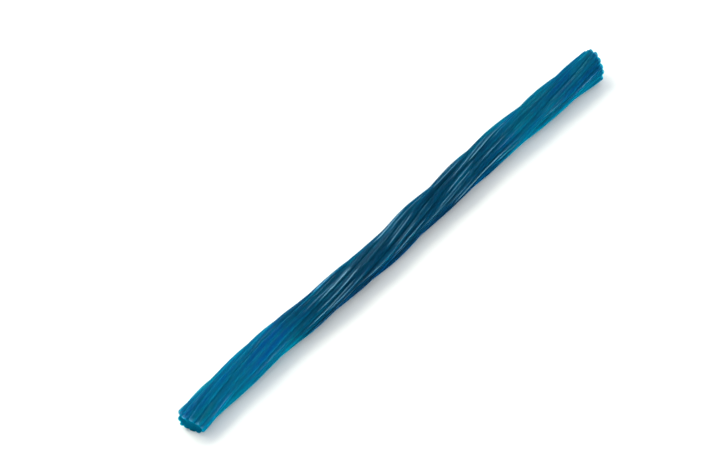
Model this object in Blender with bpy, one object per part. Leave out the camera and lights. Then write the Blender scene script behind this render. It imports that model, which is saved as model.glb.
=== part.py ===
"""Blue raspberry licorice twist: one solid rope of soft candy lying on a flat surface.

The rope is pressed through a star-shaped opening, so its section is a ring of rounded
lobes with narrow grooves between them. It is then twisted left-handed at an uneven rate
and cut to length with a blade, which leaves slanted ends edged with the lobes' tips.

+X runs along the twist, from its near end to its far end, and +Z is up. The origin is
on the surface, under the middle of the box round the twist. Lengths are in metres.
"""

import math
from collections import namedtuple

import bmesh
import bpy

NODE_NAME = "licorice_twist"

# Length and thickness of the rope. A wave is its size, its length and its phase.
LENGTH = 0.1975
CREST_RADIUS = 0.00493
THICKNESS_WAVES = ((0.022, 0.200, -0.8), (0.010, 0.047, 2.1))

# The star-shaped section, lobe by lobe: the angle from its crest to the next, how high
# the crest stands, and how deep the groove after it is as a share of the mean depth
FIRST_CREST_DEG = 43.0
CREST_STEPS_DEG = (33, 29, 30, 25, 22, 21, 30, 26, 26, 26, 30, 31, 31)
CREST_HEIGHTS = (
    0.00008, -0.00006, 0.00012, 0.00002, -0.00010, -0.00030, 0.00010,
    0.00004, -0.00012, 0.00010, -0.00004, 0.00012, -0.00008,
)
GROOVE_SHARES = (1.15, 0.80, 1.20, 0.95, 0.70, 0.75, 1.20, 0.85, 1.15, 0.80, 1.05, 1.25, 0.90)
GROOVE_DEPTH = 0.00072
CREST_ROUNDNESS = 2.2

# The slow swelling of each lobe along its length, which peaks as the lobe passes one side
SWELL_HEIGHT = 0.00025
SWELL_PEAK_DEG = 30.0
SWELL_SHORTEST = 0.026
SWELL_STEP = 0.0016
SWELL_STRIDE = 5

# The twist: turn for each metre, with a slow waver
TURN_PER_METRE = math.radians(1400.0)
TURN_WAVER = math.radians(3.5)
TURN_WAVER_LENGTH = 0.105

# The sideways bow of the centre line, and how far the surface presses the crests flat
BOW_WAVES = (0.00117, -0.00010, 0.00065, 0.00028)
PRESSED_DEPTH = 0.00026

# The cut ends: how far each leans, the side that stays longest, how much of its corner the
# blade took and on which side, its change of girth, and how far its lobes' tips stand out
Cut = namedtuple("Cut", "lean longest corner corner_side girth tip")
NEAR_CUT = Cut(math.radians(26.0), math.radians(58.0), 0.0034, math.radians(18.0), -0.030, 0.00042)
FAR_CUT = Cut(math.radians(17.5), math.radians(14.0), 0.0006, math.radians(25.0), 0.030, 0.00020)
CORNER_SHARPNESS = 4
LEAN_REACH = 0.018
GIRTH_REACH = 0.009
TIP_REACH = 0.004
TIP_UNEVENNESS = 0.7
TIP_RHYTHM = 2.4
LONGEST_TIP = 5

# The rounded rim of each cut, and its slightly dished face
RIM_LENGTH = 0.00050
RIM_INSET = 0.00027
DISH_RADIUS_SHARE = 0.55
DISH_DEPTH = 0.00018
DISH_CENTRE_DEPTH = 0.00024

# Fineness of the mesh
POINTS_PER_LOBE = 6
STATIONS = 56
SHARP_EDGE = math.radians(42.0)

# Finish
CANDY_BLUE = (0.004, 0.115, 0.250, 1.0)
CANDY_ROUGHNESS = 0.26

Lobe = namedtuple("Lobe", "number crest before after")


def clear_scene():
    """Remove everything that the scene holds."""
    for item in list(bpy.data.objects):
        bpy.data.objects.remove(item, do_unlink=True)


def make_lobes():
    """The lobes round the section: number, crest angle, and half the step on each side."""
    lobes = []
    angle = FIRST_CREST_DEG
    for number, step in enumerate(CREST_STEPS_DEG):
        before = math.radians(CREST_STEPS_DEG[number - 1]) / 2
        lobes.append(Lobe(number, math.radians(angle), before, math.radians(step) / 2))
        angle += step
    return lobes


def turn_at(x):
    """How far the section has turned at x. It falls as x grows: a left-handed twist."""
    waver = TURN_WAVER * math.sin(2.0 * math.pi * x / TURN_WAVER_LENGTH)
    return -(TURN_PER_METRE * x + waver)


def end_share(distance, reach):
    """Share of an end's own shape at a distance from it: 1 at the end, 0 past the reach."""
    left = min(max(1.0 - distance / reach, 0.0), 1.0)
    return left * left


def thickness_at(x):
    """Thickness of the whole rope at x, as a share of its mean."""
    share = 1.0
    for size, wave_length, phase in THICKNESS_WAVES:
        share += size * math.sin(2.0 * math.pi * x / wave_length + phase)
    share += NEAR_CUT.girth * end_share(x + LENGTH / 2, GIRTH_REACH)
    share += FAR_CUT.girth * end_share(LENGTH / 2 - x, GIRTH_REACH)
    return share


def centre_at(x):
    """Centre of the section at x, in Y and Z: bowed sideways, and low enough to press."""
    along = min(max(x / LENGTH + 0.5, 0.0), 1.0)
    bow = 0.0
    for number, size in enumerate(BOW_WAVES, start=1):
        bow += size * math.sin(number * math.pi * along)
    return bow, CREST_RADIUS * thickness_at(x) - PRESSED_DEPTH


def crest_height(lobe, x):
    """How far a lobe's crest stands above the mean crest at x."""
    peak = (lobe.crest - math.radians(SWELL_PEAK_DEG)) / TURN_PER_METRE
    steps = lobe.number * SWELL_STRIDE % len(CREST_STEPS_DEG)
    wave_length = SWELL_SHORTEST + SWELL_STEP * steps
    swell = SWELL_HEIGHT * math.cos(2.0 * math.pi * (x - peak) / wave_length)
    return CREST_HEIGHTS[lobe.number] + swell


def radius_at(lobes, lobe, place, x):
    """Radius of the section on a lobe, at a place from -1 to 1 between its two grooves."""
    if place > 0:
        neighbour = lobes[(lobe.number + 1) % len(lobes)]
        depth = GROOVE_DEPTH * GROOVE_SHARES[lobe.number]
    else:
        neighbour = lobes[lobe.number - 1]
        depth = GROOVE_DEPTH * GROOVE_SHARES[lobe.number - 1]
    crest = crest_height(lobe, x)
    groove = (crest + crest_height(neighbour, x)) / 2 - depth
    height = crest + (groove - crest) * abs(place) ** CREST_ROUNDNESS
    return (CREST_RADIUS + height) * thickness_at(x)


def cut_reach(cut, distance, lobe, place, angle, radius):
    """How far a point near a cut stands out of it: its slant, and the tip of its lobe."""
    slant = CREST_RADIUS * math.tan(cut.lean) * math.cos(angle - cut.longest)
    slant -= cut.corner * max(math.cos(angle - cut.corner_side), 0.0) ** CORNER_SHARPNESS
    unevenness = TIP_UNEVENNESS * math.cos(TIP_RHYTHM * (lobe.number - LONGEST_TIP))
    tip = cut.tip * (1.0 + unevenness) * (1.0 - abs(place) ** CREST_ROUNDNESS)
    reach = slant * end_share(distance, LEAN_REACH) + tip * end_share(distance, TIP_REACH)
    return reach * radius / CREST_RADIUS


def section_point(lobes, point, x, inset=0.0, share=1.0):
    """Place of one point of the section at x, drawn in by an inset or to a share."""
    lobe, place = point
    radius = radius_at(lobes, lobe, place, x) * share - inset
    angle = lobe.crest + place * (lobe.after if place > 0 else lobe.before)
    turned = angle + turn_at(x)
    along = x + cut_reach(FAR_CUT, LENGTH / 2 - x, lobe, place, turned, radius)
    along -= cut_reach(NEAR_CUT, LENGTH / 2 + x, lobe, place, turned, radius)
    angle += turn_at(along)
    centre_y, centre_z = centre_at(x)
    return (
        along,
        centre_y + radius * math.cos(angle),
        max(centre_z + radius * math.sin(angle), 0.0),
    )


def place_ring(ring, lobes, x, inset=0.0, share=1.0):
    """Move a ring of vertices to the section at x, lobe after lobe."""
    points = [(lobe, 2.0 * number / POINTS_PER_LOBE - 1.0)
              for lobe in lobes for number in range(POINTS_PER_LOBE)]
    for vertex, point in zip(ring, points):
        vertex.co = section_point(lobes, point, x, inset, share)


def extrude_ring(mesh, ring):
    """Extrude a closed ring of vertices, and return the new ring in the same order."""
    following = ring[1:] + ring[:1]
    edges = [mesh.edges.get(pair) for pair in zip(ring, following)]
    made = bmesh.ops.extrude_edge_only(mesh, edges=edges)
    fresh = {item for item in made["geom"] if isinstance(item, bmesh.types.BMVert)}
    joined = [[edge.other_vert(vertex) for edge in vertex.link_edges] for vertex in ring]
    return [next(other for other in others if other in fresh) for others in joined]


def close_end(mesh, ring, lobes, x, inward):
    """Finish one end: a rounded rim, then the slightly dished face of the cut."""
    ring = extrude_ring(mesh, ring)
    place_ring(ring, lobes, x, inset=RIM_INSET)
    ring = extrude_ring(mesh, ring)
    place_ring(ring, lobes, x + inward * DISH_DEPTH, share=DISH_RADIUS_SHARE)
    face = mesh.faces.new(ring)
    middle = bmesh.ops.poke(mesh, faces=[face])["verts"][0]
    middle.co.x = x + inward * DISH_CENTRE_DEPTH


def stand_over_origin(mesh):
    """Slide the mesh along the surface until the middle of its box is over the origin."""
    along = [vertex.co.x for vertex in mesh.verts]
    across = [vertex.co.y for vertex in mesh.verts]
    shift = (-(min(along) + max(along)) / 2, -(min(across) + max(across)) / 2, 0.0)
    bmesh.ops.translate(mesh, verts=mesh.verts[:], vec=shift)


def twist_mesh():
    """Mesh of the whole twist: the section carried along it, and both cut ends."""
    lobes = make_lobes()
    first_x = RIM_LENGTH - LENGTH / 2
    step = (LENGTH - 2 * RIM_LENGTH) / STATIONS
    mesh = bmesh.new()
    circle = bmesh.ops.create_circle(mesh, segments=len(lobes) * POINTS_PER_LOBE, radius=CREST_RADIUS)
    first_ring = circle["verts"]
    place_ring(first_ring, lobes, first_x)
    ring = first_ring
    for number in range(1, STATIONS + 1):
        ring = extrude_ring(mesh, ring)
        place_ring(ring, lobes, first_x + number * step)
    close_end(mesh, first_ring, lobes, -LENGTH / 2, 1.0)
    close_end(mesh, ring, lobes, LENGTH / 2, -1.0)
    stand_over_origin(mesh)
    bmesh.ops.triangulate(mesh, faces=mesh.faces[:], quad_method="SHORT_EDGE")
    bmesh.ops.recalc_face_normals(mesh, faces=mesh.faces[:])
    data = bpy.data.meshes.new(NODE_NAME)
    mesh.to_mesh(data)
    mesh.free()
    return data


def candy_material():
    """Glossy deep blue candy."""
    material = bpy.data.materials.new("blue_raspberry_candy")
    material.use_nodes = True
    shader = material.node_tree.nodes["Principled BSDF"]
    shader.inputs["Base Color"].default_value = CANDY_BLUE
    shader.inputs["Roughness"].default_value = CANDY_ROUGHNESS
    shader.inputs["Metallic"].default_value = 0.0
    return material


def main():
    """Build the twist."""
    clear_scene()
    data = twist_mesh()
    data.shade_smooth()
    data.set_sharp_from_angle(angle=SHARP_EDGE)
    data.materials.append(candy_material())
    twist = bpy.data.objects.new(NODE_NAME, data)
    bpy.context.scene.collection.objects.link(twist)


if __name__ == "__main__":
    main()
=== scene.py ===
"""Looks of the blue raspberry licorice twist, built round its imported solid.

The candy is modelled from a plain rod: a circle is extruded, ringed, bevelled at its rims
and inset at its ends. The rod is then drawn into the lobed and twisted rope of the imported
solid, and gets the fine ridges, drag lines and dents that a press leaves on soft candy.
Patterns on the candy follow the rod that it came from, so they run along its lobes.

+X runs along the twist and +Z is up from the floor. Lengths are in metres.
"""

import logging
import math
from collections.abc import Callable
from dataclasses import dataclass
from enum import Enum
from typing import Any

import bmesh
import bpy
import numpy as np
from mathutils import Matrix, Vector, noise


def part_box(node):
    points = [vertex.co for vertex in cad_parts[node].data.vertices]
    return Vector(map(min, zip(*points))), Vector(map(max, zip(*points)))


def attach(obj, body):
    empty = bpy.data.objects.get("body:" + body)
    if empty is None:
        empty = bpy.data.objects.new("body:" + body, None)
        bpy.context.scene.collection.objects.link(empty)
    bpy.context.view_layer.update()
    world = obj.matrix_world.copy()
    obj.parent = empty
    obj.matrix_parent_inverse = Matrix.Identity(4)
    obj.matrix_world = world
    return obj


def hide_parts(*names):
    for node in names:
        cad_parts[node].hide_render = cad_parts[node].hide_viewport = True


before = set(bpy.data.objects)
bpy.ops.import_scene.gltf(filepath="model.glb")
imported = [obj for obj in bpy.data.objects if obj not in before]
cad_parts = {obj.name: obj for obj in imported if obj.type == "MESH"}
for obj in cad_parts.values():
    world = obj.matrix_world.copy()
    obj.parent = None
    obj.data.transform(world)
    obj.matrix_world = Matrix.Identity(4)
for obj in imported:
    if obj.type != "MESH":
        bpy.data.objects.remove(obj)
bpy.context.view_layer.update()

log = logging.getLogger("twist")

Array = np.ndarray
Colour = tuple[float, float, float, float]
Point = tuple[float, float, float]

CAD_NODE = "licorice_twist"
CAD_BODY = "root"
TOLERANCE = 0.00001


class End(Enum):
    """The two ends of the rod, by their side of its middle."""

    NEAR = -1
    FAR = 1


class Part(Enum):
    """What an edit selects, by the select mode's name and the mesh's name for it."""

    VERT = "verts"
    EDGE = "edges"
    FACE = "faces"


class Detail(Enum):
    """How many finer layers a noise has."""

    SOFT = 2.0
    FINE = 3.0


@dataclass(frozen=True)
class Wave:
    """A slow wave along the rope.

    Args:
        size: How far it swings to each side.
        length: Its length along the rope.
        phase: Its phase at the middle of the rope, in radians.
    """

    size: float
    length: float
    phase: float

    def at(self, x: Array) -> Array:
        """The wave's value at each x."""
        return self.size * np.sin(math.tau * x / self.length + self.phase)


@dataclass(frozen=True)
class Cut:
    """One cut end of the rope.

    Args:
        lean: Angle between the cut and a square one, in radians.
        longest: Side of the rope that the cut leaves longest, from +Y towards +Z.
        corner: How much of its corner the blade took.
        corner_side: Side of the rope with that corner.
        girth: Change of the rope's thickness at the cut, as a share.
        tip: How far the lobes' tips stand out of the cut.
    """

    lean: float
    longest: float
    corner: float
    corner_side: float
    girth: float
    tip: float


@dataclass(frozen=True)
class Middle:
    """The middle of the rope, where it is most ridged and wettest, and where painted shade darkens its
    colour.

    Args:
        centre: Place of its centre along the rope.
        reach: Distance from there to where it has faded out.
        sharpness: Power of the curve by which it fades.
        far_depth: How dark the far end is made, as a share of the middle's painted shade.
    """

    centre: float = 0.0005
    reach: float = 0.057
    sharpness: float = 7.0
    far_depth: float = 0.40

    def share(self, x: Array) -> Array:
        """How far each x belongs to the middle: 1 at its centre, 0 past its reach."""
        return np.clip(1.0 - (np.abs(x - self.centre) / self.reach) ** self.sharpness, 0.0, 1.0)

    def depth(self, x: Array) -> Array:
        """Strength of the painted shade at each x: full in the middle, and a little at the far end too."""
        beyond = np.clip((x - self.centre) / self.reach, 0.0, 1.0)
        return np.maximum(self.share(x), self.far_depth * beyond)


@dataclass(frozen=True)
class Sides:
    """The sides of the rope that look different: the wettest one, and the underside, which has painted
    shade in the middle and painted light at the ends.

    Args:
        wet_deg: Side on which the wet film is thickest, from +Y towards +Z.
        wide_deg: Half width of that wet stripe, as an angle round the rope.
        under_start: Share of the radius above the centre line under which the underside starts.
        under_back: Share of the underside's painted shade and painted light that the back has.
    """

    wet_deg: float = 160.0
    wide_deg: float = 6.0
    under_start: float = 0.62
    under_back: float = 0.3

    def wet(self, angle: Array) -> Array:
        """How wet each angle round the twisted rope is: 1 in the middle of the wet stripe."""
        gap = (angle - math.radians(self.wet_deg) + math.pi) % math.tau - math.pi
        return np.exp(-(gap / math.radians(self.wide_deg)) ** 2)

    def under(self, angle: Array) -> Array:
        """How much of the underside's painted shade and painted light each angle round the twisted rope
        has.

        Args:
            angle: Each point's angle, from +Y towards +Z.

        Returns:
            A share for each point: 0 on top, and 1 where the skin faces the front.
        """
        # Share of the skin that faces down, which gets the underside's painted shade and painted light.
        painted_underside = np.clip(1.0 - np.sin(angle) / self.under_start, 0.0, 1.0)
        front = (1.0 - np.cos(angle)) / 2.0
        return painted_underside * (self.under_back + (1.0 - self.under_back) * front)


@dataclass(frozen=True)
class Spots:
    """The points of the rod, each by its place on it.

    Args:
        x: Distance along the rod from its middle.
        lobe: Number of the lobe that the point belongs to.
        place: Place across that lobe, from -1 to 1 between its two grooves.
        share: Distance from the rod's centre line, as a share of its radius.
    """

    x: Array
    lobe: Array
    place: Array
    share: Array

    @property
    def across(self) -> Array:
        """Each point's place round the rod, counted in lobes."""
        return self.lobe + (self.place + 1.0) / 2.0


@dataclass(frozen=True)
class RopeForm:
    """The rope's true form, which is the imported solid's.

    Args:
        length: Length of the centre line.
        crest_radius: Mean radius over the lobes' crests.
        thickness_waves: Waves of the whole rope's thickness, as shares.
        first_crest_deg: Angle of the first lobe's crest at the rope's middle.
        crest_steps_deg: Angle from each crest to the next.
        crest_heights: How far each crest stands above the mean.
        groove_shares: Depth of the groove after each lobe, as a share of the mean depth.
        groove_depth: Mean depth of the grooves.
        crest_roundness: Power of the curve from a crest down to its grooves.
        swell_height: Height of each lobe's slow swelling along the rope.
        swell_peak_deg: Side on which a lobe swells most.
        swell_shortest: Length of the shortest swelling.
        swell_step: Step between the lengths of the lobes' swellings.
        swell_stride: Order in which the lobes take those lengths.
        turn_per_metre: Turn of the twist for each metre, in radians.
        turn_waver: Slow waver of that turn.
        bow_waves: Sizes of the sideways bow's half waves.
        pressed_depth: How far the floor presses the lowest crests flat.
        near_cut: The cut at the low end of X.
        far_cut: The cut at the high end of X.
        corner_sharpness: Power that narrows a cut's missing corner.
        lean_reach: How far a cut's lean reaches along the rope.
        girth_reach: How far a cut's change of thickness reaches.
        tip_reach: How far the lobes' tips reach back from a cut.
        tip_unevenness: Share by which the tips differ.
        tip_rhythm: Step of the rule that makes them differ, in radians.
        longest_tip: Number of the lobe with the longest tip.
        tip_fade: Power by which the tips fade from a cut's rim to its middle.
        dish_depth: Depth of a cut face's dish at its middle.
        dish_roundness: Power of the dish's curve.
    """

    length: float = 0.1975
    crest_radius: float = 0.00493
    thickness_waves: tuple[Wave, ...] = (Wave(0.022, 0.200, -0.8), Wave(0.010, 0.047, 2.1))
    first_crest_deg: float = 43.0
    crest_steps_deg: tuple[float, ...] = (33, 29, 30, 25, 22, 21, 30, 26, 26, 26, 30, 31, 31)
    crest_heights: tuple[float, ...] = (
        0.00008, -0.00006, 0.00012, 0.00002, -0.00010, -0.00030, 0.00010,
        0.00004, -0.00012, 0.00010, -0.00004, 0.00012, -0.00008,
    )
    groove_shares: tuple[float, ...] = (
        1.15, 0.80, 1.20, 0.95, 0.70, 0.75, 1.20, 0.85, 1.15, 0.80, 1.05, 1.25, 0.90,
    )
    groove_depth: float = 0.00072
    crest_roundness: float = 2.2
    swell_height: float = 0.00025
    swell_peak_deg: float = 30.0
    swell_shortest: float = 0.026
    swell_step: float = 0.0016
    swell_stride: int = 5
    turn_per_metre: float = math.radians(1400.0)
    turn_waver: Wave = Wave(math.radians(3.5), 0.105, 0.0)
    bow_waves: tuple[float, ...] = (0.00117, -0.00010, 0.00065, 0.00028)
    pressed_depth: float = 0.00026
    near_cut: Cut = Cut(
        lean=math.radians(26.0), longest=math.radians(58.0), corner=0.0034,
        corner_side=math.radians(18.0), girth=-0.030, tip=0.00042,
    )
    far_cut: Cut = Cut(
        lean=math.radians(17.5), longest=math.radians(14.0), corner=0.0006,
        corner_side=math.radians(25.0), girth=0.030, tip=0.00020,
    )
    corner_sharpness: int = 4
    lean_reach: float = 0.018
    girth_reach: float = 0.009
    tip_reach: float = 0.004
    tip_unevenness: float = 0.7
    tip_rhythm: float = 2.4
    longest_tip: int = 5
    tip_fade: float = 3.0
    dish_depth: float = 0.00024
    dish_roundness: float = 2.3

    @property
    def lobes(self) -> int:
        """How many lobes the rope has."""
        return len(self.crest_steps_deg)

    @property
    def around(self) -> float:
        """Length of the way round the rope, over its crests."""
        return math.tau * self.crest_radius

    def crests(self) -> Array:
        """Angle of each lobe's crest at the rope's middle, in radians."""
        before = np.concatenate([[0.0], np.cumsum(self.crest_steps_deg[:-1])])
        return np.radians(self.first_crest_deg + before)

    def angle(self, spots: Spots) -> Array:
        """Work out where each point lies round the rope, before the twist.

        Args:
            spots: The points.

        Returns:
            Each point's angle, from +Y towards +Z.
        """
        after = np.radians(self.crest_steps_deg) / 2
        before = np.roll(after, 1)
        half_step = np.where(spots.place > 0, after[spots.lobe], before[spots.lobe])
        return self.crests()[spots.lobe] + spots.place * half_step

    def turn(self, x: Array) -> Array:
        """How far the rope has turned at each x: it falls as x grows, a left-handed twist."""
        return -(self.turn_per_metre * x + self.turn_waver.at(x))

    @staticmethod
    def end_share(distance: Array, reach: float) -> Array:
        """Share of an end's own shape at a distance from it: 1 at the end, 0 past the reach."""
        return np.clip(1.0 - distance / reach, 0.0, 1.0) ** 2

    def thickness(self, x: Array) -> Array:
        """Work out how thick the whole rope is.

        Args:
            x: Places along the rope.

        Returns:
            The thickness at each of them, as a share of its mean.
        """
        waves = sum(wave.at(x) for wave in self.thickness_waves)
        near = self.near_cut.girth * self.end_share(x + self.length / 2, self.girth_reach)
        far = self.far_cut.girth * self.end_share(self.length / 2 - x, self.girth_reach)
        return 1.0 + waves + near + far

    def crest_height(self, lobe: Array, x: Array) -> Array:
        """Work out how far crests stand above the mean crest.

        Args:
            lobe: Numbers of the crests' lobes.
            x: A place along the rope for each of them.

        Returns:
            One height for each crest.
        """
        peak = (self.crests() - math.radians(self.swell_peak_deg)) / self.turn_per_metre
        steps = np.arange(self.lobes) * self.swell_stride % self.lobes
        wave_length = self.swell_shortest + self.swell_step * steps
        swell = self.swell_height * np.cos(math.tau * (x - peak[lobe]) / wave_length[lobe])
        return np.array(self.crest_heights)[lobe] + swell

    def radius(self, spots: Spots) -> Array:
        """Work out the radius of the rope's skin.

        Args:
            spots: The points.

        Returns:
            The radius at each point.
        """
        later = spots.place > 0
        neighbour = np.where(later, spots.lobe + 1, spots.lobe - 1) % self.lobes
        groove_number = np.where(later, spots.lobe, spots.lobe - 1)
        depth = self.groove_depth * np.array(self.groove_shares)[groove_number]
        crest = self.crest_height(spots.lobe, spots.x)
        groove = (crest + self.crest_height(neighbour, spots.x)) / 2 - depth
        height = crest + (groove - crest) * np.abs(spots.place) ** self.crest_roundness
        return (self.crest_radius + height) * self.thickness(spots.x)

    def crest_share(self, spots: Spots) -> Array:
        """How near each point is to its lobe's crest: 1 on it, and 0 in a groove."""
        return 1.0 - np.abs(spots.place) ** self.crest_roundness

    def cut_reach(self, cut: Cut, distance: Array, spots: Spots, angle: Array, radius: Array) -> Array:
        """How far each point near a cut stands out of it: its slant, and its lobe's tip.

        Args:
            cut: The cut.
            distance: Each point's distance from the cut's middle, along the rod.
            spots: The points.
            angle: Each point's angle round the twisted rope.
            radius: Each point's distance from the centre line.

        Returns:
            The distance along X, away from the rope's middle.
        """
        slant = self.crest_radius * math.tan(cut.lean) * np.cos(angle - cut.longest)
        slant -= cut.corner * np.maximum(np.cos(angle - cut.corner_side), 0.0) ** self.corner_sharpness
        unevenness = self.tip_unevenness * np.cos(self.tip_rhythm * (spots.lobe - self.longest_tip))
        tip = cut.tip * (1.0 + unevenness) * self.crest_share(spots)
        reach = slant * self.end_share(distance, self.lean_reach)
        reach += tip * self.end_share(distance, self.tip_reach) * spots.share ** self.tip_fade
        return reach * radius / self.crest_radius

    def centre(self, x: Array) -> tuple[Array, Array]:
        """Work out the rope's centre line, bowed sideways and pressed on the floor.

        Args:
            x: Places along the rope.

        Returns:
            Its Y and its Z at each of them.
        """
        along = np.clip(x / self.length + 0.5, 0.0, 1.0)
        waves = [size * np.sin(number * math.pi * along)
                 for number, size in enumerate(self.bow_waves, start=1)]
        return sum(waves), self.crest_radius * self.thickness(x) - self.pressed_depth

    def place(self, spots: Spots) -> Array:
        """Where each point of the rod lies on the finished rope.

        Args:
            spots: The points of the rod.

        Returns:
            One row of X, Y and Z for each point.
        """
        radius = self.radius(spots) * spots.share
        angle = self.angle(spots)
        turned = angle + self.turn(spots.x)
        half = self.length / 2
        far = self.cut_reach(self.far_cut, half - spots.x, spots, turned, radius)
        near = self.cut_reach(self.near_cut, half + spots.x, spots, turned, radius)
        on_face = np.abs(spots.x) > half - TOLERANCE
        dish = np.where(on_face, self.dish_depth * (1.0 - spots.share ** self.dish_roundness), 0.0)
        along = spots.x + far - near - np.sign(spots.x) * dish
        angle = angle + self.turn(along)
        centre_y, centre_z = self.centre(spots.x)
        across = centre_y + radius * np.cos(angle)
        up = np.maximum(centre_z + radius * np.sin(angle), 0.0)
        return np.stack([along, across, up], axis=1)


@dataclass(frozen=True)
class Rod:
    """The plain round rod that the rope is drawn from.

    Args:
        length: Its length.
        radius: Its radius.
        lobes: How many lobes it will have.
        points_per_lobe: Points across each lobe.
        first_rings: Lengths that the rod is cut into first.
        ring_cuts: Cuts of each of those lengths.
        rim: Width of the bevel round its ends.
        rim_steps: Steps of that bevel.
        face_rings: Rings of each end face.
        nudge: Share of a point's step by which it may miss a groove and still be on it.
    """

    length: float
    radius: float
    lobes: int
    points_per_lobe: int = 23
    first_rings: int = 76
    ring_cuts: int = 3
    rim: float = 0.00036
    rim_steps: int = 4
    face_rings: int = 8
    nudge: float = 0.001

    def build(self, name: str) -> bpy.types.Object:
        """The rod as a new closed mesh object.

        Args:
            name: The object's name.

        Returns:
            The object, at the origin.
        """
        bpy.ops.object.select_all(action="DESELECT")
        bpy.ops.mesh.primitive_circle_add(
            vertices=self.lobes * self.points_per_lobe, radius=self.radius, fill_type="NOTHING",
            location=(-self.length / 2, 0.0, 0.0), rotation=(0.0, math.pi / 2, 0.0))
        rod = bpy.context.object
        rod.name = rod.data.name = name
        bpy.ops.object.transform_apply(location=True, rotation=True, scale=True)
        bpy.ops.object.mode_set(mode="EDIT")
        bpy.ops.mesh.select_all(action="SELECT")
        bpy.ops.mesh.extrude_region_move(TRANSFORM_OT_translate={"value": (self.length, 0.0, 0.0)})
        for cuts in (self.first_rings - 1, self.ring_cuts):
            self.select(rod, Part.EDGE, self.is_lengthwise)
            bpy.ops.mesh.subdivide(number_cuts=cuts)
        for end in End:
            self.select(rod, Part.VERT, lambda vertex: self.is_end(vertex.co.x * end.value))
            bpy.ops.mesh.edge_face_add()
        self.select(rod, Part.EDGE, self.is_round_end)
        bpy.ops.mesh.bevel(offset=self.rim, segments=self.rim_steps, profile=0.5, affect="EDGES")
        self.fill_faces(rod)
        bpy.ops.mesh.select_all(action="SELECT")
        bpy.ops.mesh.normals_make_consistent(inside=False)
        bpy.ops.object.mode_set(mode="OBJECT")
        return rod

    def is_end(self, distance: float) -> bool:
        """Whether this distance from the rod's middle reaches its end."""
        return distance > self.length / 2 - TOLERANCE

    def is_round_end(self, edge: bmesh.types.BMEdge) -> bool:
        """Whether an edge runs round one of the rod's ends."""
        return all(self.is_end(abs(vertex.co.x)) for vertex in edge.verts)

    @staticmethod
    def is_lengthwise(edge: bmesh.types.BMEdge) -> bool:
        """Whether an edge runs along the rod."""
        return abs(edge.verts[0].co.x - edge.verts[1].co.x) > TOLERANCE

    @staticmethod
    def select(rod: bpy.types.Object, part: Part, chosen: Callable[[Any], bool]) -> None:
        """Select some of the rod's points, edges or faces, and nothing else.

        Args:
            rod: The rod, in edit mode.
            part: Which of the three to select.
            chosen: Tells of each one whether to select it.
        """
        bpy.ops.mesh.select_all(action="DESELECT")
        bpy.ops.mesh.select_mode(type=part.name)
        mesh = bmesh.from_edit_mesh(rod.data)
        for item in getattr(mesh, part.value):
            item.select_set(chosen(item))
        if part is Part.VERT:
            mesh.select_flush(True)
        bmesh.update_edit_mesh(rod.data)

    def fill_faces(self, rod: bpy.types.Object) -> None:
        """Inset both end faces ring by ring, and poke the last one to a point.

        Args:
            rod: The rod, in edit mode.
        """
        self.select(rod, Part.FACE, lambda face: len(face.verts) > self.lobes)
        width = (self.radius - self.rim) / (self.face_rings + 1)
        for _ in range(self.face_rings):
            bpy.ops.mesh.inset(thickness=width, depth=0.0)
        bpy.ops.mesh.poke()

    def spots(self, points: Array) -> Spots:
        """Each point's place on the rod.

        Args:
            points: Rows of X, Y and Z on the rod.

        Returns:
            The places, as lobe numbers and shares.
        """
        round_share = np.arctan2(points[:, 2], points[:, 1]) / math.tau % 1.0
        across = round_share * self.lobes
        nudge = self.nudge / self.points_per_lobe
        lobe = np.floor(across + nudge).astype(int) % self.lobes
        place = np.clip(2.0 * ((across + nudge) % 1.0 - nudge) - 1.0, -1.0, 1.0)
        share = np.hypot(points[:, 1], points[:, 2]) / self.radius
        return Spots(points[:, 0], lobe, place, share)


@dataclass(frozen=True)
class Ridge:
    """A fine ridge along a lobe, which rises and fades along the rope.

    Args:
        place: Its place round the rod, counted in lobes.
        width: Its half width.
        share: Its height where it is highest, as a share of the highest ridge's.
        presence: Mean of the share of that height that it has, before it is kept from 0 to 1.
        rise: How that share waves round its mean.
        wander: How it wanders sideways.
    """

    place: float
    width: float
    share: float
    presence: float
    rise: Wave
    wander: Wave

    def at(self, across: Array, x: Array, form: RopeForm) -> Array:
        """The ridge at each point.

        Args:
            across: Each point's place round the rod, counted in lobes.
            x: Each point's place along the rod.
            form: The rope's form.

        Returns:
            A share of the highest ridge's height for each point.
        """
        gap = ((across - self.place) / form.lobes + 0.5) % 1.0 - 0.5
        sideways = gap * form.around - self.wander.at(x)
        height = np.clip(self.presence + self.rise.at(x), 0.0, 1.0)
        return self.share * height * np.exp(-(sideways / self.width) ** 2)


@dataclass(frozen=True)
class Dent:
    """A small long dent in the skin.

    Args:
        x: Its middle along the rod.
        side: Its middle round the rod, as a share of the way.
        long: Its half length.
        wide: Its half width.
        depth: Its depth.
    """

    x: float
    side: float
    long: float
    wide: float
    depth: float

    def at(self, around: Array, x: Array, form: RopeForm) -> Array:
        """Depth of the dent at each point, by its share of the way round and its place along."""
        gap = ((around - self.side + 0.5) % 1.0 - 0.5) * form.around
        return self.depth * np.exp(-((x - self.x) / self.long) ** 2 - (gap / self.wide) ** 2)


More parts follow.
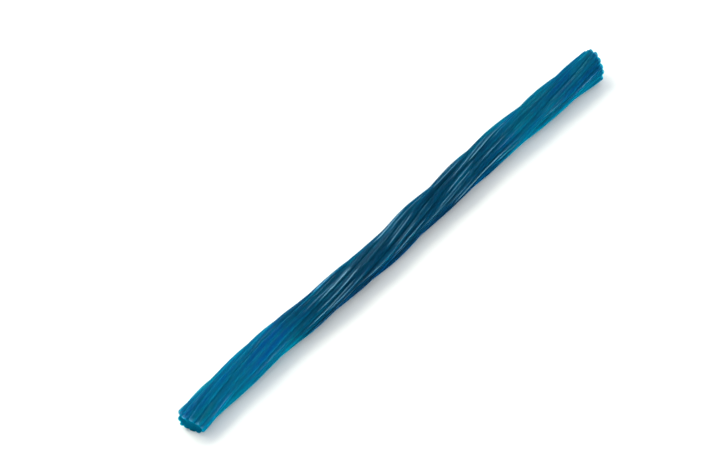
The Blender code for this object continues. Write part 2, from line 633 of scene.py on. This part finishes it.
@dataclass(frozen=True)
class SkinRelief:
    """The fine relief of the candy's skin, laid on the rope's form.

    A pair of numbers is a least and a most, between which a seeded draw picks.

    Args:
        crest_scatter: How far a lobe's main ridge may stand from its crest, in lobes.
        side_places: Distance of a lobe's side ridges from its crest, in lobes.
        side_share: Share of the lobes' two sides that have a ridge.
        ridge_height: Height of the highest ridge.
        ridge_widths: Half width of a ridge.
        ridge_shares: Height of a ridge, as a share of the highest one's.
        ridge_lengths: Length of the waves in which a ridge rises and wanders.
        ridge_presence: Mean of the share of its height that a ridge has.
        ridge_rise: How far that share waves round its mean.
        ridge_wander: How far a ridge wanders sideways.
        end_share: Share of the ridges' height that is left at the cut ends.
        drag_height: Height of the fine drag lines between the ridges.
        drag_counts: How many drag lines run round the rope, in each of their sets.
        drag_presence: Mean strength of the drag lines, round which they fade.
        drag_fade: Noise in which the drag lines fade, waves for each metre along and across.
        drag_shift: Shift of that noise for the first set of lines.
        uneven_height: Height of the soft unevenness along the lobes.
        uneven_scale: Noise of that unevenness, waves for each metre along and across.
        uneven_shift: Shift of that noise.
        dents: How many small long dents the skin has.
        dent_depths: Depth of a dent.
        dent_lengths: Half length of a dent.
        dent_slimness: Width of a dent, as a share of its length.
        face_share: Share of the rod's radius inside which a cut face has only the unevenness.
        seed: Seed of the ridges and the dents.
    """

    crest_scatter: float = 0.10
    side_places: tuple[float, float] = (0.25, 0.42)
    side_share: float = 0.70
    ridge_height: float = 0.00008
    ridge_widths: tuple[float, float] = (0.00013, 0.00019)
    ridge_shares: tuple[float, float] = (0.65, 1.0)
    ridge_lengths: tuple[float, float] = (0.024, 0.048)
    ridge_presence: float = 0.80
    ridge_rise: float = 0.7
    ridge_wander: float = 0.00012
    end_share: float = 0.35
    drag_height: float = 0.000009
    drag_counts: tuple[int, ...] = (67, 83)
    drag_presence: float = 0.6
    drag_fade: Point = (90.0, 420.0, 420.0)
    drag_shift: float = 20.0
    uneven_height: float = 0.00005
    uneven_scale: Point = (160.0, 420.0, 420.0)
    uneven_shift: float = 40.0
    dents: int = 70
    dent_depths: tuple[float, float] = (0.00002, 0.00007)
    dent_lengths: tuple[float, float] = (0.0009, 0.0030)
    dent_slimness: tuple[float, float] = (0.12, 0.25)
    face_share: float = 0.9
    seed: int = 7

    @staticmethod
    def soft_noise(points: Array, scale: Point, shift: float) -> Array:
        """Smooth noise from -1 to 1 at each point of the rod. Another shift gives another noise."""
        scaled = points * np.array(scale) + shift
        return np.array([noise.noise(Vector(point)) for point in scaled])

    def ridges(self, lobes: int) -> list[Ridge]:
        """The fine ridges: one near each lobe's crest, and mostly one or two beside it.

        Args:
            lobes: How many lobes there are.

        Returns:
            The ridges, in order round the rope.
        """
        draw = np.random.default_rng(self.seed)
        ridges = []
        for lobe in range(lobes):
            crest = lobe + 0.5
            places = [crest + draw.uniform(-self.crest_scatter, self.crest_scatter)]
            for side in (-1.0, 1.0):
                place = crest + side * draw.uniform(*self.side_places)
                if draw.uniform() < self.side_share:
                    places.append(place)
            ridges += [self.ridge(draw, place) for place in places]
        return ridges

    def ridge(self, draw: np.random.Generator, place: float) -> Ridge:
        """Draw what a ridge has beside its place.

        Args:
            draw: The seeded draw.
            place: The ridge's place round the rod, counted in lobes.

        Returns:
            The ridge.
        """
        rise, wander = (
            Wave(size, draw.uniform(*self.ridge_lengths), draw.uniform(0.0, math.tau))
            for size in (self.ridge_rise, self.ridge_wander)
        )
        width = draw.uniform(*self.ridge_widths)
        return Ridge(place, width, draw.uniform(*self.ridge_shares), self.ridge_presence, rise, wander)

    def ridge_shares_at(self, spots: Spots, form: RopeForm) -> Array:
        """All the ridges together, at each point, as a share of the highest one's height."""
        return sum(ridge.at(spots.across, spots.x, form) for ridge in self.ridges(form.lobes))

    def dent_list(self, form: RopeForm) -> list[Dent]:
        """Scatter the dents over the whole skin.

        Args:
            form: The rope's form.

        Returns:
            The dents.
        """
        draw = np.random.default_rng(self.seed + 1)
        dents = []
        for _ in range(self.dents):
            x = draw.uniform(-0.5, 0.5) * form.length
            long = draw.uniform(*self.dent_lengths)
            wide = long * draw.uniform(*self.dent_slimness)
            dents.append(Dent(x, draw.uniform(), long, wide, draw.uniform(*self.dent_depths)))
        return dents

    def height(self, points: Array, spots: Spots, ridges: Array, form: RopeForm, middle: Middle) -> Array:
        """Height of the relief at each point of the rod.

        Args:
            points: Rows of X, Y and Z on the rod.
            spots: The same points' places.
            ridges: The ridges' share at each of them.
            form: The rope's form.
            middle: The rope's middle, where the ridges stand out.

        Returns:
            One height for each point, positive outwards.
        """
        around = spots.across / form.lobes
        strength = self.end_share + (1.0 - self.end_share) * middle.share(spots.x)
        height = self.ridge_height * ridges * strength
        for number, count in enumerate(self.drag_counts):
            fade = self.drag_presence + self.soft_noise(points, self.drag_fade, self.drag_shift + number)
            height += self.drag_height * fade * np.cos(math.tau * count * around)
        height -= sum(dent.at(around, spots.x, form) for dent in self.dent_list(form))
        height *= np.clip((spots.share - self.face_share) / (1.0 - self.face_share), 0.0, 1.0)
        return height + self.uneven_height * self.soft_noise(points, self.uneven_scale, self.uneven_shift)


class Socket:
    """A shader value. Python's operators on it add Math nodes.

    Args:
        shader: The node tree's builder.
        output: The node output that gives the value.
    """

    def __init__(self, shader: "Shader", output: bpy.types.NodeSocket) -> None:
        """Wrap a node's output."""
        self.shader = shader
        self.output = output

    def math(self, operation: str, *values: Any, clamp: bool = False) -> "Socket":
        """A Math node on these values."""
        return self.shader.add("ShaderNodeMath", {"operation": operation, "use_clamp": clamp},
                               dict(enumerate(values)))

    def __add__(self, other: Any) -> "Socket":
        """self + other, or other + self."""
        return self.math("ADD", self, other)

    __radd__ = __add__

    def __sub__(self, other: Any) -> "Socket":
        """self - other."""
        return self.math("SUBTRACT", self, other)

    def __rsub__(self, other: Any) -> "Socket":
        """other - self."""
        return self.math("SUBTRACT", other, self)

    def __mul__(self, other: Any) -> "Socket":
        """self * other, or other * self."""
        return self.math("MULTIPLY", self, other)

    __rmul__ = __mul__

    def clamped(self) -> "Socket":
        """The value, kept between 0 and 1."""
        return self.math("ADD", self, 0.0, clamp=True)


class Shader:
    """Builds one material's nodes.

    Attributes:
        noise_roughness: Strength of each finer layer of noise, as a share of the one before.
    """

    noise_roughness: float = 0.55

    def __init__(self, name: str) -> None:
        """Make the material, with its surface.

        Args:
            name: The material's name.
        """
        self.material = bpy.data.materials.new(name)
        self.material.use_nodes = True
        self.tree = self.material.node_tree
        self.surface = self.tree.nodes["Principled BSDF"]

    def add(self, kind: str, settings: dict[str, Any], inputs: dict[Any, Any], output: Any = 0) -> Socket:
        """Add a node.

        Args:
            kind: The node's type.
            settings: Its own settings, such as an operation, set first.
            inputs: Values or links of its sockets, by name or number.
            output: Name or number of the output that is wanted.

        Returns:
            That output.
        """
        node = self.tree.nodes.new(kind)
        for name, value in settings.items():
            setattr(node, name, value)
        for name, value in inputs.items():
            self.feed(node.inputs[name], value)
        return Socket(self, node.outputs[output])

    def feed(self, target: bpy.types.NodeSocket, value: Any) -> None:
        """Link a value to a socket, or set it there.

        Args:
            target: The socket.
            value: A number, a colour or another node's output.
        """
        if isinstance(value, Socket):
            self.tree.links.new(value.output, target)
        else:
            target.default_value = value

    def attribute(self, name: str, output: str = "Fac") -> Socket:
        """A mesh attribute."""
        return self.add("ShaderNodeAttribute", {"attribute_name": name}, {}, output)

    def clouds(self, scale: Point, detail: Detail = Detail.SOFT) -> Socket:
        """Noise from about 0.2 to 0.8, on the plain rod that the piece was drawn from.

        Args:
            scale: Waves for each metre, along the rod and across it.
            detail: How fine the noise is.

        Returns:
            The noise.
        """
        rod = self.attribute("rod", "Vector")
        place = self.add("ShaderNodeVectorMath", {"operation": "MULTIPLY"}, {0: rod, 1: scale})
        values = {"Vector": place, "Scale": 1.0, "Detail": detail.value, "Roughness": self.noise_roughness}
        return self.add("ShaderNodeTexNoise", {}, values, "Fac")

    def mixed(self, share: Socket, first: Any, second: Any) -> Socket:
        """Two colours, mixed by a share of the second."""
        # A Mix node has its two colours in inputs 6 and 7, and the mixed one in output 2.
        return self.add("ShaderNodeMix", {"data_type": "RGBA"}, {0: share, 6: first, 7: second}, 2)

    def finish(self, values: dict[str, Any]) -> bpy.types.Material:
        """Set or link the surface's sockets.

        Args:
            values: A number, a colour or another node's output for each socket's name.

        Returns:
            The finished material.
        """
        for name, value in values.items():
            self.feed(self.surface.inputs[name], value)
        return self.material


@dataclass(frozen=True)
class CandyFinish:
    """Glossy, see-through blue raspberry candy.

    Noise scales are waves for each metre, along the rod and across it.

    Args:
        deep: Colour of the candy in its lobes.
        teal: Its colour in the broad patches that are greener.
        edge: Colour of the underside at the rope's ends, a painted light that is lighter and greener than
            the lobes.
        middle_shade: Colour of the rope's middle, a painted shade that darkens it.
        underside_shade: Colour of the underside of the rope's middle, a darker painted shade.
        light: Colour of the grooves, a painted light that lifts the shade in them, and of the candy's
            palest streaks.
        floor: Colour of the grooves' floors, where that painted light is strongest.
        cut_deep: Colour of the cut faces and the lobes' tips, in their darker patches.
        cut_pale: Their colour in the palest patches.
        middle_depth: How much of the grooves' painted light the rope's middle gives up.
        underside: Strength of the underside's painted shade and painted light.
        streak_share: Strength of the streaks of colour.
        patch_share: Strength of the broad patches of colour.
        teal_start: Noise at which a patch is half way to the greener colour.
        teal_edge: How sharply a greener patch ends.
        face_mottle: How sharply the cut faces' paler patches end.
        scatter_radius: How far red, green and blue light scatters inside, as shares.
        scatter_scale: The reach that they are shares of.
        refraction: How strongly the candy bends light.
        soft_shine: Strength of the soft reflections.
        soft_roughness: Roughness of the smoothest skin.
        dull: Further roughness of the dullest skin.
        cut_dull: Further roughness of the cut faces.
        film_roughness: Roughness of the wet film, which lies on the ridges and in patches.
        film_ends: Share of the ridges' and patches' film that is left at the cut ends.
        film_crests: Strength of the film's patches, which lie on the lobes' crests.
        film_side: Share of the film on the wettest side's crests, at the cut ends.
        film_side_middle: The same in the rope's middle.
        film_rims: Share of the film on the cuts' rims, at the lobes' tips.
        ridge_foot: Share of a ridge's height under which it has no film.
        film_start: Noise above which a patch of film starts.
        film_edge: How sharply such a patch ends.
        streak_scale: Noise of the streaks of colour.
        patch_scale: Noise of the broad patches of colour.
        film_scale: Noise of the film's patches.
        drag_scale: Noise of the finest drag lines.
        grain_scale: Noise of the grain of the cut faces.
        bump_height: Height of the drag lines and the grain.
        bump_strength: Share of that height that shows.
        drag_share: Share of the drag lines in it.
        skin_grain: Share of the grain in it, all over the skin.
        cut_grain: Further share of the grain on the cut faces.
    """

    deep: Colour = (0.000, 0.051, 0.150, 1.0)
    teal: Colour = (0.000, 0.075, 0.112, 1.0)
    # Painted light on the underside at the rope's ends.
    edge: Colour = (0.000, 0.086, 0.134, 1.0)
    # Painted shade for the rope's middle and, darker still, for the underside of the middle.
    middle_shade: Colour = (0.000, 0.022, 0.055, 1.0)
    underside_shade: Colour = (0.000, 0.008, 0.022, 1.0)
    # Painted light for the grooves, strongest on their floors, which lifts the shade that falls in them.
    light: Colour = (0.002, 0.128, 0.236, 1.0)
    floor: Colour = (0.003, 0.185, 0.315, 1.0)
    cut_deep: Colour = (0.000, 0.050, 0.110, 1.0)
    cut_pale: Colour = (0.000, 0.092, 0.150, 1.0)
    middle_depth: float = 0.75
    underside: float = 0.75
    streak_share: float = 0.5
    patch_share: float = 0.5
    teal_start: float = 0.55
    teal_edge: float = 5.0
    face_mottle: float = 1.6
    scatter_radius: Point = (0.25, 1.0, 1.2)
    scatter_scale: float = 0.0055
    refraction: float = 1.45
    soft_shine: float = 0.005
    soft_roughness: float = 0.34
    dull: float = 0.16
    cut_dull: float = 0.12
    film_roughness: float = 0.17
    film_ends: float = 0.14
    film_crests: float = 0.09
    film_side: float = 0.28
    film_side_middle: float = 0.30
    film_rims: float = 0.34
    ridge_foot: float = 0.50
    film_start: float = 0.50
    film_edge: float = 4.0
    streak_scale: Point = (60.0, 420.0, 420.0)
    patch_scale: Point = (45.0, 130.0, 130.0)
    film_scale: Point = (24.0, 400.0, 400.0)
    drag_scale: Point = (140.0, 2600.0, 2600.0)
    grain_scale: Point = (1500.0, 1500.0, 1500.0)
    bump_height: float = 0.0002
    bump_strength: float = 0.12
    drag_share: float = 0.6
    skin_grain: float = 0.24
    cut_grain: float = 3.0

    def material(self) -> bpy.types.Material:
        """The candy's material.

        Returns:
            The material, which reads the attributes that the candy stores.
        """
        shader = Shader("blue_raspberry_candy")
        cut = shader.attribute("cut")
        streaks = shader.clouds(self.streak_scale, Detail.FINE)
        return shader.finish({
            "IOR": self.refraction,
            "Specular IOR Level": self.soft_shine,
            "Subsurface Weight": 1.0,
            "Subsurface Radius": self.scatter_radius,
            "Subsurface Scale": self.scatter_scale,
            "Coat Roughness": self.film_roughness,
            "Base Color": self.colour(shader, cut, streaks),
            "Roughness": streaks * self.dull + self.soft_roughness + cut * self.cut_dull,
            "Coat Weight": self.film(shader),
            "Normal": self.bump(shader, cut),
        })

    def colour(self, shader: Shader, cut: Socket, streaks: Socket) -> Socket:
        """The candy's colour: deep in its lobes and lighter in random patches, with painted light in its
        grooves, painted shade in its middle, and painted shade and light on its underside.

        Args:
            shader: The material's builder.
            cut: How far the place belongs to a cut face.
            streaks: Noise of the streaks.

        Returns:
            The colour.
        """
        # Strength of the middle's painted shade, which also takes back the grooves' painted light there.
        depth = shader.attribute("depth")
        groove = (1.0 - shader.attribute("crest")) * (1.0 - depth * self.middle_depth)
        patches = shader.clouds(self.patch_scale)
        uneven = (streaks - 0.5) * self.streak_share + (patches - 0.5) * self.patch_share
        greener = ((patches - self.teal_start) * self.teal_edge + 0.5).clamped()
        # The candy's own colour, darkened by the middle's painted shade.
        body_with_shade = shader.mixed(depth, shader.mixed(greener, self.deep, self.teal), self.middle_shade)
        # Painted light in the grooves, strongest on their floors.
        pale = shader.mixed(groove * groove * groove, self.light, self.floor)
        skin = shader.mixed((groove + uneven).clamped(), body_with_shade, pale)
        # Painted light on the underside at the ends, and painted shade under the middle.
        painted_underside = shader.mixed(shader.attribute("middle"), self.edge, self.underside_shade)
        skin = shader.mixed(shader.attribute("under") * self.underside, skin, painted_underside)
        mottled = (uneven * self.face_mottle + 0.5).clamped()
        return shader.mixed(cut, skin, shader.mixed(mottled, self.cut_deep, self.cut_pale))

    def film(self, shader: Shader) -> Socket:
        """Share of the wet film, which lies on the ridges and in long patches on the crests.

        Args:
            shader: The material's builder.

        Returns:
            The share, from 0 to 1.
        """
        crest = shader.attribute("crest")
        patches = ((shader.clouds(self.film_scale) - self.film_start) * self.film_edge).clamped()
        above_foot = shader.attribute("ridges") - self.ridge_foot
        ridges = (above_foot * (1.0 / (1.0 - self.ridge_foot))).clamped()
        top = crest * crest
        cover = ridges + patches * top * self.film_crests
        side = shader.attribute("wet_side") * top * top * top
        rims = shader.attribute("rim") * crest * self.film_rims
        middle = shader.attribute("middle")
        wet = middle * (1.0 - self.film_ends) + self.film_ends
        side_wet = middle * (self.film_side_middle - self.film_side) + self.film_side
        return (cover * wet + side * side_wet + rims).clamped()

    def bump(self, shader: Shader, cut: Socket) -> Socket:
        """The finest drag lines and the grain, which is stronger on the cut faces.

        Args:
            shader: The material's builder.
            cut: How far the place belongs to a cut face.

        Returns:
            The bumped normal.
        """
        drag = shader.clouds(self.drag_scale)
        grain = shader.clouds(self.grain_scale, Detail.FINE)
        height = drag * self.drag_share + grain * (cut * self.cut_grain + self.skin_grain)
        values = {"Strength": self.bump_strength, "Distance": self.bump_height, "Height": height}
        return shader.add("ShaderNodeBump", {}, values, "Normal")


@dataclass
class LicoriceTwist:
    """The whole candy: one piece.

    Args:
        form: The rope's true form.
        middle: Its middle, which is more ridged and wetter, and darkened by painted shade.
        sides: Its wettest side, and its underside with painted shade and painted light.
        relief: Its skin's fine relief.
        finish: Its look.
        name: The piece's name.
        groove_softness: Share of each point's move that rounds the grooves' floors.
        groove_passes: How often that move is made.
        face_reach: Distance from a cut within which the skin looks more like the cut face.
        rim_start: Share of the rod's radius at which a cut face's rim starts.
    """

    form: RopeForm = RopeForm()
    middle: Middle = Middle()
    sides: Sides = Sides()
    relief: SkinRelief = SkinRelief()
    finish: CandyFinish = CandyFinish()
    name: str = "twist_candy"
    groove_softness: float = 0.5
    groove_passes: int = 2
    face_reach: float = 0.001
    rim_start: float = 0.8

    def build(self) -> bpy.types.Object:
        """Model the candy, dress it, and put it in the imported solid's place.

        Returns:
            The finished piece.
        """
        rod = Rod(self.form.length, self.form.crest_radius, self.form.lobes)
        piece = rod.build(self.name)
        points = self.read(piece.data.vertices, "co")
        spots = rod.spots(points)
        self.write_points(piece, self.form.place(spots))
        self.soften_grooves(piece)
        ridges = self.relief.ridge_shares_at(spots, self.form)
        height = self.relief.height(points, spots, ridges, self.form, self.middle)
        outwards = self.read(piece.data.vertex_normals, "vector")
        self.write_points(piece, self.read(piece.data.vertices, "co") + outwards * height[:, None])
        self.settle(piece)
        self.add_patterns(piece, points, spots, ridges)
        piece.data.shade_smooth()
        piece.data.materials.append(self.finish.material())
        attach(piece, CAD_BODY)
        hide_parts(CAD_NODE)
        return piece

    @staticmethod
    def read(items: Any, key: str) -> Array:
        """Read a vector from each item of a mesh.

        Args:
            items: The items, such as the mesh's vertices.
            key: The vector's name.

        Returns:
            One row of X, Y and Z for each item.
        """
        flat = np.empty(len(items) * 3)
        items.foreach_get(key, flat)
        return flat.reshape(-1, 3)

    @staticmethod
    def write_points(piece: bpy.types.Object, points: Array) -> None:
        """Move the mesh's points to these rows."""
        piece.data.vertices.foreach_set("co", points.ravel())
        piece.data.update()

    def soften_grooves(self, piece: bpy.types.Object) -> None:
        """Round the floors of the grooves, as in soft candy.

        Args:
            piece: The piece.
        """
        bpy.context.view_layer.objects.active = piece
        modifier = piece.modifiers.new("soft_grooves", "SMOOTH")
        modifier.factor = self.groove_softness
        modifier.iterations = self.groove_passes
        bpy.ops.object.modifier_apply(modifier=modifier.name)

    def settle(self, piece: bpy.types.Object) -> None:
        """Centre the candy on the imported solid, with nothing under the floor.

        Args:
            piece: The piece.
        """
        points = self.read(piece.data.vertices, "co")
        low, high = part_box(CAD_NODE)
        for axis in (0, 1):
            middle = (points[:, axis].min() + points[:, axis].max()) / 2
            points[:, axis] += (low[axis] + high[axis]) / 2 - middle
        points[:, 2] = np.maximum(points[:, 2], 0.0)
        self.write_points(piece, points)

    def add_patterns(self, piece: bpy.types.Object, points: Array, spots: Spots, ridges: Array) -> None:
        """Store what the finish reads, such as the rod's own points and the crests.

        Args:
            piece: The candy.
            points: The rod's points.
            spots: Their places on the rod.
            ridges: The ridges' share at each of them.
        """
        rod = piece.data.attributes.new("rod", "FLOAT_VECTOR", "POINT")
        rod.data.foreach_set("vector", points.ravel())
        angle = self.form.angle(spots) + self.form.turn(spots.x)
        from_end = self.form.length / 2 - np.abs(spots.x)
        cut = np.clip(1.0 - from_end / self.face_reach, 0.0, 1.0)
        patterns = {
            "crest": self.form.crest_share(spots),
            "ridges": ridges,
            "cut": cut,
            "rim": cut * np.clip((spots.share - self.rim_start) / (1.0 - self.rim_start), 0.0, 1.0),
            "middle": self.middle.share(spots.x),
            # Strength of the middle's painted shade.
            "depth": self.middle.depth(spots.x),
            # Where the underside's painted shade and painted light go.
            "under": self.sides.under(angle),
            "wet_side": self.sides.wet(angle),
        }
        for name, values in patterns.items():
            attribute = piece.data.attributes.new(name, "FLOAT", "POINT")
            attribute.data.foreach_set("value", values)


def direction(side_deg: float, height_deg: float) -> Vector:
    """Work out the direction to a place from the middle of the floor.

    Args:
        side_deg: The side that the place is on, from +X towards +Y.
        height_deg: Its height above the floor, as an angle.

    Returns:
        The direction, of length 1.
    """
    side, height = math.radians(side_deg), math.radians(height_deg)
    level = math.cos(height)
    return Vector((math.cos(side) * level, math.sin(side) * level, math.sin(height)))


class Task(Enum):
    """What a studio light is there for."""

    LIGHT = "lights the candy and the floor, and isn't mirrored"
    GLINT = "is mirrored in the wet skin, and lights nothing"


@dataclass(frozen=True)
class SoftBox:
    """One studio light.

    Args:
        name: The light's name.
        side_deg: Side that it stands on, from +X towards +Y.
        height_deg: Height above the floor, as an angle.
        size: Its face's size along the rope and the other way.
        power: Its power in watts.
        task: What it is there for.
        colour: Colour of its light.
        distance: Distance from the candy.
    """

    name: str
    side_deg: float
    height_deg: float
    size: tuple[float, float]
    power: float
    task: Task
    colour: Point
    distance: float = 1.5

    def build(self) -> None:
        """Put the light up, with its length along the rope and its face to it."""
        data = bpy.data.lights.new(self.name, "AREA")
        data.shape = "RECTANGLE"
        data.size, data.size_y = self.size
        data.energy = self.power
        data.color = self.colour
        away = direction(self.side_deg, self.height_deg)
        light = bpy.data.objects.new(self.name, data)
        light.location = away * self.distance
        light.rotation_euler = Vector((0.0, away.y, away.z)).to_track_quat("Z", "Y").to_euler()
        light.visible_glossy = self.task is Task.GLINT
        light.visible_diffuse = self.task is Task.LIGHT
        light.visible_camera = False
        bpy.context.scene.collection.objects.link(light)


@dataclass(frozen=True)
class Camera:
    """The camera, at the photograph's viewing angle.

    Args:
        side_deg: Side that it stands on, from +X towards +Y.
        height_deg: Its height above the floor, as an angle.
        distance: Its distance from the candy.
        view_width: Width of what it sees at that distance.
        view_depth: Distance past which it sees nothing.
        aim_height: Height of the point that it would centre.
        aim_right: How far it aims to the right of that point.
        aim_up: How far it aims above that point.
    """

    side_deg: float = -140.2
    height_deg: float = 47.0
    distance: float = 1.4
    view_width: float = 0.22276
    view_depth: float = 20.0
    aim_height: float = 0.0047
    aim_right: float = -0.01098
    aim_up: float = 0.00165

    def build(self) -> None:
        """Make the camera and use it for the scene."""
        back = direction(self.side_deg, self.height_deg)
        right = direction(self.side_deg + 90.0, 0.0)
        up = back.cross(right)
        aim = Vector((0.0, 0.0, self.aim_height)) + right * self.aim_right + up * self.aim_up
        data = bpy.data.cameras.new("camera")
        data.lens = data.sensor_width * self.distance / self.view_width
        data.clip_end = self.view_depth
        camera = bpy.data.objects.new("camera", data)
        camera.location = aim + back * self.distance
        camera.rotation_euler = back.to_track_quat("Z", "Y").to_euler()
        bpy.context.scene.collection.objects.link(camera)
        bpy.context.scene.camera = camera


@dataclass
class Studio:
    """The plain pale floor, the lights and the camera.

    Args:
        floor_size: Width of the floor.
        floor_gap: How far the floor lies under the candy, so that they don't touch.
        floor_colour: Its colour.
        floor_roughness: Its roughness.
        floor_shine: Strength of its reflections.
        air: Colour of the light from all round.
        air_strength: Strength of that light.
        lights: The soft boxes.
        camera: The camera.
    """

    floor_size: float = 8.0
    floor_gap: float = 0.00003
    floor_colour: Colour = (0.92, 0.92, 0.92, 1.0)
    floor_roughness: float = 0.9
    floor_shine: float = 0.1
    air: Colour = (1.0, 1.0, 1.0, 1.0)
    air_strength: float = 0.85
    lights: tuple[SoftBox, ...] = (
        SoftBox("key", 105.0, 50.0, (0.95, 0.95), 17.5, Task.LIGHT, (1.00, 1.00, 0.83)),
        SoftBox("fill", -80.0, 8.0, (0.80, 0.40), 15.5, Task.LIGHT, (0.86, 0.98, 0.96)),
        SoftBox("front_box", -90.0, 25.0, (4.00, 1.00), 325.0, Task.GLINT, (0.34, 0.79, 1.00)),
        SoftBox("top_box", -90.0, 80.0, (4.00, 1.60), 380.0, Task.GLINT, (0.36, 0.77, 1.00)),
        SoftBox("back_box", 90.0, 42.0, (4.00, 1.40), 260.0, Task.GLINT, (0.36, 0.77, 1.00)),
    )
    camera: Camera = Camera()

    def build(self) -> None:
        """Set up the floor, the lights, the air and the camera."""
        self.build_floor()
        for light in self.lights:
            light.build()
        self.light_air()
        self.camera.build()
        bpy.context.scene.view_settings.view_transform = "Standard"

    def build_floor(self) -> None:
        """Lay the floor."""
        bpy.ops.object.select_all(action="DESELECT")
        bpy.ops.mesh.primitive_plane_add(size=self.floor_size, location=(0.0, 0.0, -self.floor_gap))
        bpy.ops.object.transform_apply(location=True, rotation=True, scale=True)
        floor = bpy.context.object
        floor.name = "floor"
        floor.visible_glossy = False
        floor.data.materials.append(Shader("pale_floor").finish({
            "Base Color": self.floor_colour,
            "Roughness": self.floor_roughness,
            "Specular IOR Level": self.floor_shine,
        }))

    def light_air(self) -> None:
        """Light the scene evenly from all round, without a veil on the gloss."""
        world = bpy.data.worlds.new("air")
        bpy.context.scene.world = world
        world.use_nodes = True
        background = world.node_tree.nodes["Background"]
        background.inputs["Color"].default_value = self.air
        background.inputs["Strength"].default_value = self.air_strength
        world.cycles_visibility.glossy = False


def main() -> None:
    """Build the candy and the studio, and report each piece."""
    logging.basicConfig(level=logging.INFO, format="%(name)s: %(message)s")
    candy = LicoriceTwist().build()
    log.info("%s: %d points, %d faces", candy.name, len(candy.data.vertices), len(candy.data.polygons))
    Studio().build()
    log.info("studio: floor, %d lights, camera", len(bpy.data.lights))


if __name__ == "__main__":
    main()
